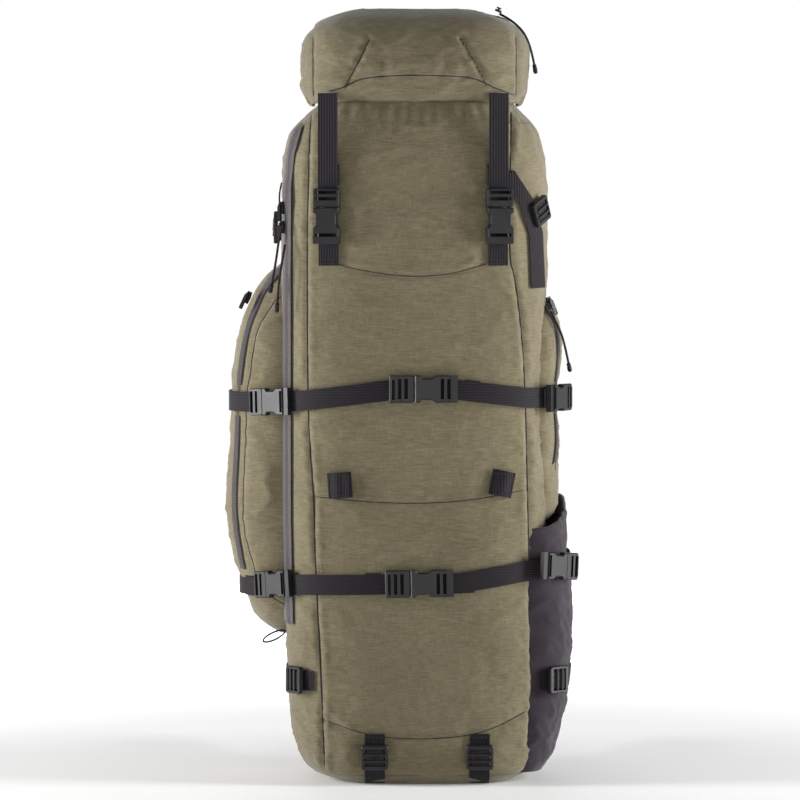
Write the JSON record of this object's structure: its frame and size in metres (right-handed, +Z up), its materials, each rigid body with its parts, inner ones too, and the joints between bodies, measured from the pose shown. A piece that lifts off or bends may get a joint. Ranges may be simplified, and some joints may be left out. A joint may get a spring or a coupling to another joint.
{
  "type": "hunting backpack",
  "caption": "Tall framed hunting backpack with floating lid, side pockets, stretch pocket, buckled compression straps, zippers and padded harness.",
  "frame": {"origin": "middle of the flat base that the pack stands on", "axes": "+Z up the pack, -Y out of its front panel, +Y towards the wearer's back, +X to the right seen from the front"},
  "size_m": [0.4464, 0.5525, 0.9766],
  "materials": {
    "shell_fabric": "matte",
    "lid_fabric": "matte",
    "stretch_fabric": "matte",
    "webbing": "matte",
    "zipper_tape": "satin",
    "buckle_plastic": "satin",
    "cord": "matte",
    "harness_foam": "matte",
    "frame_tube": "satin",
    "screw_steel": "satin",
    "slider_metal": "gloss"
  },
  "bodies": {
    "pack": {"front_panel": "shell_fabric", "back_panel": "shell_fabric", "left_side_panel": "shell_fabric", "right_side_panel": "shell_fabric", "collar": "shell_fabric", "bottom_panel": "shell_fabric", "left_side_pocket": "shell_fabric", "right_side_pocket": "shell_fabric", "stretch_pocket": "stretch_fabric", "side_zipper": "zipper_tape", "pocket_zippers": "zipper_tape", "mid_strap_webbing": "webbing", "lower_strap_webbing": "webbing", "strap_buckle_sockets": "buckle_plastic", "lid_anchor_webbing": "webbing", "lid_buckle_sockets": "buckle_plastic", "corner_strap_webbing": "webbing", "bottom_strap_webbing": "webbing", "ladder_locks": "buckle_plastic", "webbing_loops": "webbing", "frame_stays": "frame_tube", "frame_crossbars": "frame_tube", "frame_screws": "screw_steel", "back_pads": "harness_foam", "lumbar_pad": "harness_foam", "shoulder_straps": "harness_foam", "harness_ladder_locks": "buckle_plastic", "haul_loop": "webbing", "harness_webbing": "webbing", "sternum_socket": "buckle_plastic"},
    "lid": {"lid_pocket": "lid_fabric", "lid_zipper": "zipper_tape", "lid_webbing": "webbing", "lid_buckle_plugs": "buckle_plastic"},
    "lid_zip_slider": {"lid_slider": "slider_metal", "lid_cord": "cord"},
    "side_zip_upper": {"side_zip_slider_upper": "slider_metal", "side_zip_cord_upper": "cord"},
    "side_zip_lower": {"side_zip_slider_lower": "slider_metal", "side_zip_cord_lower": "cord"},
    "right_pocket_zip": {"right_pocket_slider": "slider_metal", "right_pocket_cord": "cord"},
    "left_pocket_zip": {"left_pocket_slider": "slider_metal"},
    "sternum_release": {"sternum_plug": "buckle_plastic"},
    "hip_wing_left": {"hip_belt_left": "harness_foam", "hip_belt_webbing_left": "webbing", "hip_belt_plug": "buckle_plastic"},
    "hip_wing_right": {"hip_belt_right": "harness_foam", "hip_belt_webbing_right": "webbing", "hip_belt_socket": "buckle_plastic"},
    "mid_left_release": {"mid_left_plug": "buckle_plastic"},
    "mid_center_release": {"mid_center_plug": "buckle_plastic"},
    "mid_right_release": {"mid_right_plug": "buckle_plastic"},
    "lower_left_release": {"lower_left_plug": "buckle_plastic"},
    "lower_center_release": {"lower_center_plug": "buckle_plastic"},
    "lower_right_release": {"lower_right_plug": "buckle_plastic"}
  },
  "joints": [
    {"name": "lid_open", "type": "hinge", "parent": "pack", "child": "lid", "pos_m": [0, 0.12, 0.864], "axis": [-1, 0, 0], "range_deg": [0, 105]},
    {"name": "lid_zip_slide", "type": "slide", "parent": "lid", "child": "lid_zip_slider", "axis": [0, 1, 0], "range_m": [-0.045, 0.065]},
    {"name": "side_zip_upper_slide", "type": "slide", "parent": "pack", "child": "side_zip_upper", "axis": [0, 0, 1], "range_m": [0, 0.05]},
    {"name": "side_zip_lower_slide", "type": "slide", "parent": "pack", "child": "side_zip_lower", "axis": [0, 0, -1], "range_m": [0, 0.075]},
    {"name": "right_pocket_zip_slide", "type": "slide", "parent": "pack", "child": "right_pocket_zip", "axis": [-0.3489, 0, 0.9371], "range_m": [-0.008, 0]},
    {"name": "left_pocket_zip_slide", "type": "slide", "parent": "pack", "child": "left_pocket_zip", "axis": [0.4191, 0, 0.908], "range_m": [-0.03, 0.01]},
    {"name": "mid_left_unclip", "type": "slide", "parent": "pack", "child": "mid_left_release", "axis": [-0.7166, 0.6966, -0.0349], "range_m": [0, 0.027]},
    {"name": "mid_center_unclip", "type": "slide", "parent": "pack", "child": "mid_center_release", "axis": [-1, -0.0062, 0], "range_m": [0, 0.027]},
    {"name": "mid_right_unclip", "type": "slide", "parent": "pack", "child": "mid_right_release", "axis": [0.4097, 0.9122, 0], "range_m": [0, 0.027]},
    {"name": "lower_left_unclip", "type": "slide", "parent": "pack", "child": "lower_left_release", "axis": [-0.6372, 0.7658, -0.0872], "range_m": [0, 0.027]},
    {"name": "lower_center_unclip", "type": "slide", "parent": "pack", "child": "lower_center_release", "axis": [-0.9998, -0.0029, -0.0175], "range_m": [0, 0.027]},
    {"name": "lower_right_unclip", "type": "slide", "parent": "pack", "child": "lower_right_release", "axis": [0.6496, 0.757, -0.0698], "range_m": [0, 0.027]},
    {"name": "sternum_unclip", "type": "slide", "parent": "pack", "child": "sternum_release", "axis": [1, 0, 0], "range_m": [0, 0.027]},
    {"name": "hip_left_swing", "type": "hinge", "parent": "pack", "child": "hip_wing_left", "pos_m": [-0.068, 0.151, 0.1], "axis": [0, 0, 1], "range_deg": [-18, 18]},
    {"name": "hip_right_swing", "type": "hinge", "parent": "pack", "child": "hip_wing_right", "pos_m": [0.068, 0.151, 0.1], "axis": [0, 0, 1], "range_deg": [-18, 18]}
  ]
}
